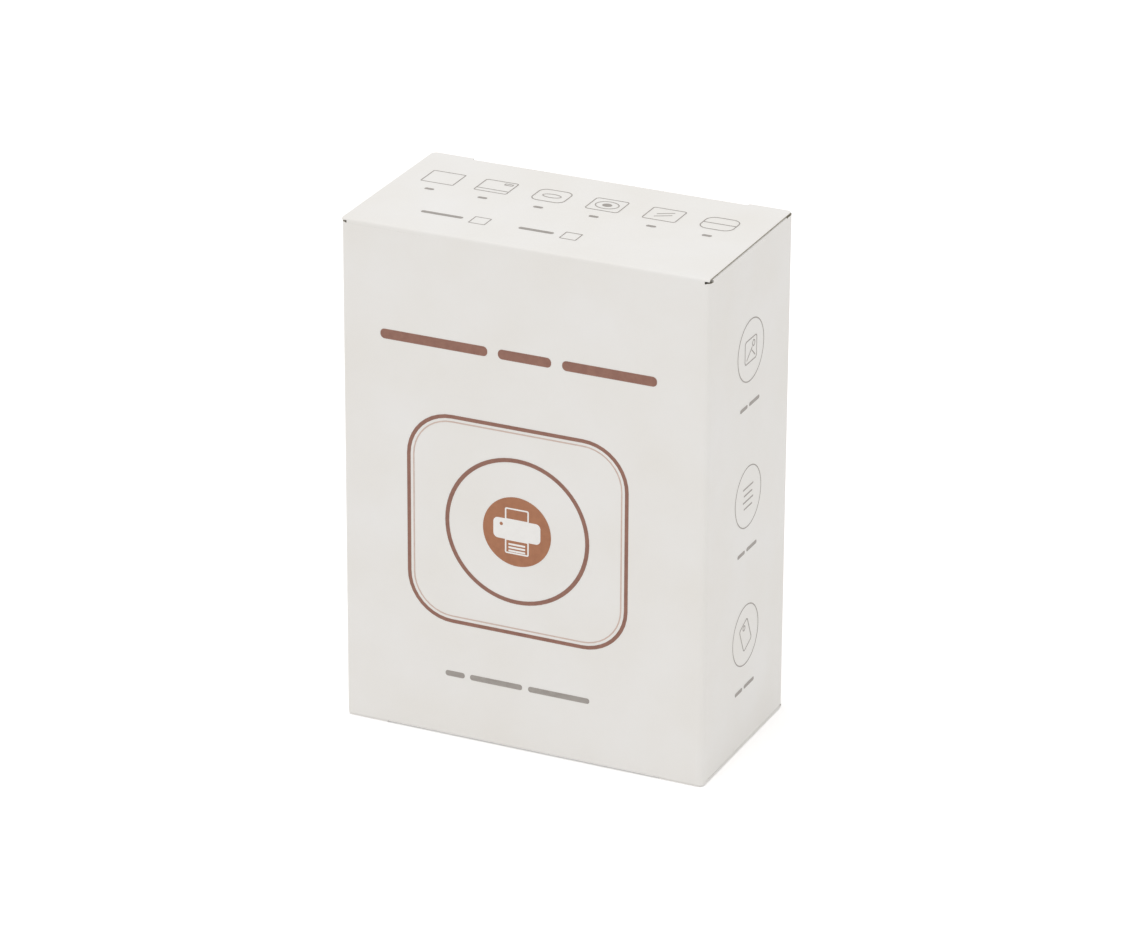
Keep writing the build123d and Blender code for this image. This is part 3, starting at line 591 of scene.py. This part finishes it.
def upturned_sides(piece):
    """Turns the side edges of the base up a little, until they close the gap under the side walls."""
    crease_x = 49.35 * mm
    out = 0.18 * mm
    up = 0.36 * mm
    side_x = panel_half - near
    side_end_y = -fold_y - 0.5 * mm
    under_top = 0.15 * mm
    alone(piece)
    bpy.ops.object.mode_set(mode="EDIT")
    for side in (-1, 1):
        cut_at_x(side * crease_x)
    cut_at_y(-fold_y - 0.7 * mm)
    for side in (-1, 1):
        shift_points(lambda spot: spot.x * side > side_x and 2 * near < spot.z < 6 * near
                     and spot.y < side_end_y, (side * out, 0, up))
        shift_points(lambda spot: spot.x * side > side_x and spot.z < under_top
                     and spot.y < side_end_y, (side * out, 0, 0))
    bpy.ops.object.mode_set(mode="OBJECT")
    for face in piece.data.polygons:
        face.material_index = 0
    smooth(piece)


def glued_flap():
    """Glue flap behind the left panel, with its two corners cut off."""
    glue_gap = 0.05 * mm
    inner = -half_width + skin + board + glue_gap
    thickness = 0.4 * mm
    end_gap = 4 * mm
    folded_y = half_depth - 0.7 * mm
    free_y = half_depth - 12.7 * mm
    cut_corner = 5 * mm
    low = (inner, free_y, end_gap)
    high = (inner + thickness, folded_y, height - end_gap)
    piece = block("glue_flap_board", low, high)
    bpy.ops.object.mode_set(mode="EDIT")
    pick("EDGE", lambda middle, run: abs(run.x) > near and middle.y < free_y + 0.7 * mm)
    bpy.ops.mesh.bevel(offset=cut_corner, segments=1, affect="EDGES")
    bpy.ops.object.mode_set(mode="OBJECT")
    finish_with(piece, finishes["paperboard"])
    return piece


sleeve = upright_sleeve()
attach(sleeve, "carton")
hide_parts("carton_sleeve")

flap = glued_flap()
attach(flap, "carton")

lid = end_panel()
base = turned_under(lid, "base_board")
upturned_sides(base)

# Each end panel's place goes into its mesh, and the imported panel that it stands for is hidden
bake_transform(lid)
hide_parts("lid_panel")
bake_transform(base)
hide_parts("bottom_panel")


# Print on the carton: flat shapes made lying at the origin, then laid on a panel

def flat_shape(width, depth, corner=0.0):
    """A flat rectangle, with rounded corners where corner isn't 0."""
    bpy.ops.mesh.primitive_plane_add(size=1, location=(0, 0, 0))
    piece = bpy.context.active_object
    piece.scale = (width, depth, 1)
    settle(piece)
    if corner:
        bpy.ops.object.mode_set(mode="EDIT")
        bpy.ops.mesh.select_all(action="SELECT")
        bpy.ops.mesh.bevel(offset=corner, segments=10, affect="VERTICES")
        bpy.ops.object.mode_set(mode="OBJECT")
    return piece


def flat_disc(radius, stretch=1.0):
    """A flat disc, or an oval where stretch isn't 1."""
    bpy.ops.mesh.primitive_circle_add(vertices=72, radius=radius, fill_type="NGON", location=(0, 0, 0))
    piece = bpy.context.active_object
    piece.scale = (1, stretch, 1)
    return settle(piece)


def outline(piece, line):
    """Keeps only a line of even width along a flat shape's border."""
    alone(piece)
    bpy.ops.object.mode_set(mode="EDIT")
    bpy.ops.mesh.select_all(action="SELECT")
    bpy.ops.mesh.inset(thickness=line, use_boundary=True)
    bpy.ops.mesh.delete(type="FACE")
    bpy.ops.object.mode_set(mode="OBJECT")
    return piece


def at(piece, across, up, lift=0.0, turn=0.0):
    """Moves a flat shape to its place in the print, turned in degrees, and lifted by layers of ink."""
    piece.location = (across, up, lift * ink_thickness)
    piece.rotation_euler = (0, 0, radians(turn))
    return settle(piece)


def bar(width, depth, across, up):
    """A bar with rounded ends, which stands for a word."""
    rounding = 0.45 * depth
    return at(flat_shape(width, depth, rounding), across, up)


# The sign's lamp lies over the rest of the sign, this far inside the carton's box
lamp_depth = 0.004 * mm

# The turn and the place that lay a print on its panel
panels = {
    "front": ((pi / 2, 0, 0), (0, -half_depth + skin - ink_lift, 0)),
    "front_sign": ((pi / 2, 0, 0), (0, -half_depth + lamp_depth, 0)),
    "right": ((pi / 2, 0, pi / 2), (half_width - skin + ink_lift, 0, 0)),
    "lid": ((0, 0, pi), (0, 0, height - lid_skin + ink_lift)),
}


def printed(name, shapes, ink, panel, body):
    """Joins flat shapes of one ink, lays them on a panel and gives them the ink's thickness."""
    bpy.ops.object.select_all(action="DESELECT")
    for shape in shapes:
        shape.select_set(True)
    bpy.context.view_layer.objects.active = shapes[0]
    if len(shapes) > 1:
        bpy.ops.object.join()
    piece = bpy.context.active_object
    rename(piece, name)
    turn, place = panels[panel]
    piece.rotation_euler = turn
    piece.location = place
    settle(piece)
    apply_modifier(piece, "SOLIDIFY", thickness=ink_thickness, offset=-1)
    finish_with(piece, ink)
    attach(piece, body)


def front_print():
    """Front panel: three word bars, a double rounded frame, a ring, a disc with a sign, and a caption."""
    middle_x, middle_z = -1.6 * mm, 60.5 * mm
    title_z, title_depth = 107.8 * mm, 2.6 * mm
    caption_z, caption_depth = 17.6 * mm, 1.5 * mm
    lines = [
        at(outline(flat_shape(61 * mm, 57.2 * mm, 12.5 * mm), 1.0 * mm), middle_x, middle_z),
        at(outline(flat_disc(19.9 * mm), 1.1 * mm), middle_x, middle_z),
    ]
    for width, x in ((29.5, -24.5), (14.5, 0.4), (25.5, 23.4)):
        lines.append(bar(width * mm, title_depth, x * mm, title_z))
    printed("front_brown_lines", lines, brown_ink, "front", "carton")
    hairline = at(outline(flat_shape(57.6 * mm, 53.8 * mm, 10.8 * mm), 0.35 * mm), middle_x, middle_z)
    printed("front_hairline", [hairline], pale_ink, "front", "carton")
    printed("front_disc", [at(flat_disc(9.4 * mm), middle_x, middle_z)], copper_ink, "front", "carton")
    # the sign is a printer's body, the sheets above and below it, and three lines of text
    sign = [at(flat_shape(13.0 * mm, 5.6 * mm, 1.3 * mm), middle_x, middle_z + 0.4 * mm, full_layer)]
    for depth, z in ((3.4, 4.6), (4.0, -4.2)):
        sheet = outline(flat_shape(6.6 * mm, depth * mm, 0.5 * mm), 0.4 * mm)
        sign.append(at(sheet, middle_x, middle_z + z * mm, half_layer))
    for z in (-3.6, -4.5, -5.4):
        sign.append(at(flat_shape(4.6 * mm, 0.5 * mm), middle_x, middle_z + z * mm, full_layer))
    printed("front_disc_sign", sign, white_ink, "front", "carton")
    lamp = at(flat_disc(0.45 * mm), middle_x - 4.3 * mm, middle_z + 1.6 * mm)
    printed("front_sign_lamp", [lamp], copper_ink, "front_sign", "carton")
    caption = []
    for width, x in ((5.4, -18.9), (14.6, -7.4), (17.0, 10.1)):
        caption.append(bar(width * mm, caption_depth, x * mm, caption_z))
    printed("front_caption", caption, grey_ink, "front", "carton")


def side_print():
    """Right panel: three thin circles with a small sign in each, and two word bars under each."""
    line = 0.3 * mm
    x = 0.2 * mm
    picture_z, text_z, tag_z = 109.2 * mm, 69.6 * mm, 31.4 * mm
    shapes = []
    for z in (picture_z, text_z, tag_z):
        shapes.append(at(outline(flat_disc(8.3 * mm), line), x, z))
        shapes.append(bar(4.6 * mm, 1.0 * mm, -3.6 * mm, z - 14.6 * mm))
        shapes.append(bar(6.4 * mm, 1.0 * mm, 3.0 * mm, z - 14.6 * mm))
    # a picture: its frame, its sun and two slopes
    shapes.append(at(outline(flat_shape(7.6 * mm, 6.4 * mm, 1.0 * mm), line), x, picture_z))
    shapes.append(at(outline(flat_disc(0.9 * mm), line), x + 1.7 * mm, picture_z + 1.3 * mm))
    shapes.append(at(flat_shape(4.4 * mm, line), x - 0.9 * mm, picture_z - 0.8 * mm, turn=38))
    shapes.append(at(flat_shape(3.0 * mm, line), x + 1.6 * mm, picture_z - 1.2 * mm, half_layer, turn=-42))
    # four lines of text, long and short in turn
    for width, z in ((6.4, 2.7), (5.2, 0.9), (6.4, -0.9), (5.2, -2.7)):
        shapes.append(at(flat_shape(width * mm, 0.4 * mm), x, text_z + z * mm))
    # a tag with its hole
    shapes.append(at(outline(flat_shape(5.6 * mm, 7.6 * mm, 0.9 * mm), line), x, tag_z, turn=24))
    shapes.append(at(outline(flat_disc(0.8 * mm), line), x - 1.0 * mm, tag_z + 2.2 * mm))
    printed("side_grey_signs", shapes, grey_ink, "right", "carton")


def lid_print():
    """Lid: six small outlined signs with a short bar under each, and two tick boxes with word bars."""
    line = 0.28 * mm
    sign_y = -9.8 * mm
    card_x = 24.2 * mm
    shapes = []
    # each sign has its own place and roundness
    for x, corner in ((39.0, 0.4), (24.2, 0.7), (8.8, 2.2), (-6.4, 1.0), (-22.0, 0.8), (-37.0, 2.6)):
        shapes.append(at(outline(flat_shape(9.2 * mm, 8.2 * mm, corner * mm), line), x * mm, sign_y))
        shapes.append(bar(2.6 * mm, 1.1 * mm, x * mm - 0.2 * mm, -1.2 * mm))
    # a card's stripe and field
    shapes.append(at(flat_shape(8.6 * mm, line), card_x, -7.6 * mm))
    shapes.append(at(outline(flat_shape(2.4 * mm, 1.2 * mm, 0.3 * mm), line), card_x - 2.4 * mm, -12.2 * mm))
    # an oval, and a ring with its middle
    shapes.append(at(outline(flat_disc(2.6 * mm, 0.5), line), 8.8 * mm, sign_y))
    shapes.append(at(outline(flat_disc(3.2 * mm, 0.8), line), -6.4 * mm, sign_y))
    shapes.append(at(flat_disc(1.3 * mm, 0.8), -6.4 * mm, sign_y))
    # two slanted strokes, and one straight across
    for y in (-9.0, -10.8):
        shapes.append(at(flat_shape(4.6 * mm, line), -22.0 * mm, y * mm, turn=28))
    shapes.append(at(flat_shape(8.6 * mm, line), -37.0 * mm, sign_y))
    # two tick boxes, each with its word
    for box_x, word_x, width in ((17.6, 28.0, 11.5), (-7.2, 2.2, 9.5)):
        shapes.append(at(outline(flat_shape(4.6 * mm, 4.6 * mm, 0.3 * mm), line), box_x * mm, 13.6 * mm))
        shapes.append(bar(width * mm, 1.3 * mm, word_x * mm, 13.7 * mm))
    printed("lid_grey_signs", shapes, grey_ink, "lid", "lid")


front_print()
side_print()
lid_print()


# Floor, light and camera

def either(tree, first, second):
    """The larger of two values, which is 1 where either of them is 1."""
    return node(tree, "ShaderNodeMath", {0: first, 1: second}, operation="MAXIMUM").outputs[0]


def stage_floor():
    """Plain pale floor, which the camera sees near white with the carton's soft shadow."""
    glow = 0.30
    bpy.ops.mesh.primitive_plane_add(size=8, location=(0, 0, -0.02 * mm))
    floor = bpy.context.active_object
    floor.name = "studio_floor"
    material, tree, shader, point = fresh("matt_white_floor")
    tree.links.new(tint(tree, grain(tree, point, 60 * mm), "#F3F2F1", "#F5F4F3"), shader.inputs["Base Color"])
    surface(shader, rough=0.95, ior=1.3)
    rays = node(tree, "ShaderNodeLightPath").outputs
    seen = either(tree, rays["Is Camera Ray"], rays["Is Glossy Ray"])
    seen = either(tree, seen, rays["Is Transmission Ray"])
    lift = node(tree, "ShaderNodeMath", {0: seen, 1: glow}, operation="MULTIPLY")
    shader.inputs["Emission Color"].default_value = (1, 1, 1, 1)
    tree.links.new(lift.outputs[0], shader.inputs["Emission Strength"])
    floor.data.materials.append(material)


def studio_world(level):
    """Even surroundings, which light the carton at a level and look white to the camera."""
    world = bpy.data.worlds.new("white_surroundings")
    bpy.context.scene.world = world
    world.use_nodes = True
    tree = world.node_tree
    tree.nodes.clear()
    rays = node(tree, "ShaderNodeLightPath").outputs
    seen = either(tree, rays["Is Camera Ray"], rays["Is Transmission Ray"])
    strength = node(tree, "ShaderNodeMapRange", {"Value": seen, "To Min": level, "To Max": 1.0})
    back = node(tree, "ShaderNodeBackground", {"Color": (1, 1, 1, 1), "Strength": strength.outputs["Result"]})
    node(tree, "ShaderNodeOutputWorld", {"Surface": back.outputs["Background"]})


def soft_light(name, place, aim, size, power):
    """A square soft box aimed at a point."""
    light = bpy.data.lights.new(name, "AREA")
    light.shape = "SQUARE"
    light.size = size
    light.energy = power
    lamp = bpy.data.objects.new(name, light)
    bpy.context.collection.objects.link(lamp)
    lamp.location = place
    lamp.rotation_euler = (Vector(aim) - Vector(place)).to_track_quat("-Z", "Y").to_euler()


def photo_camera():
    """Camera at the photograph's place: above, to the right of the front, well back with a long lens."""
    turn, tilt, roll = radians(24.6), radians(23.5), radians(0.30)
    place = (533.904 * mm, -1165.357 * mm, 624.933 * mm)
    data = bpy.data.cameras.new("camera")
    data.sensor_width = 36
    data.lens = 174.9
    data.clip_end = 20
    camera = bpy.data.objects.new("camera", data)
    bpy.context.collection.objects.link(camera)
    level = Matrix.Rotation(turn, 3, "Z") @ Matrix.Rotation(pi / 2 - tilt, 3, "X")
    camera.rotation_euler = (level @ Matrix.Rotation(roll, 3, "Z")).to_euler()
    camera.location = place
    bpy.context.scene.camera = camera


stage_floor()
studio_world(level=0.82)
soft_light("high_front_light", place=(-0.35, -0.62, 2.4), aim=(0, 0, 0.06), size=1.4, power=11.5)
photo_camera()
bpy.context.scene.view_settings.view_transform = "Standard"
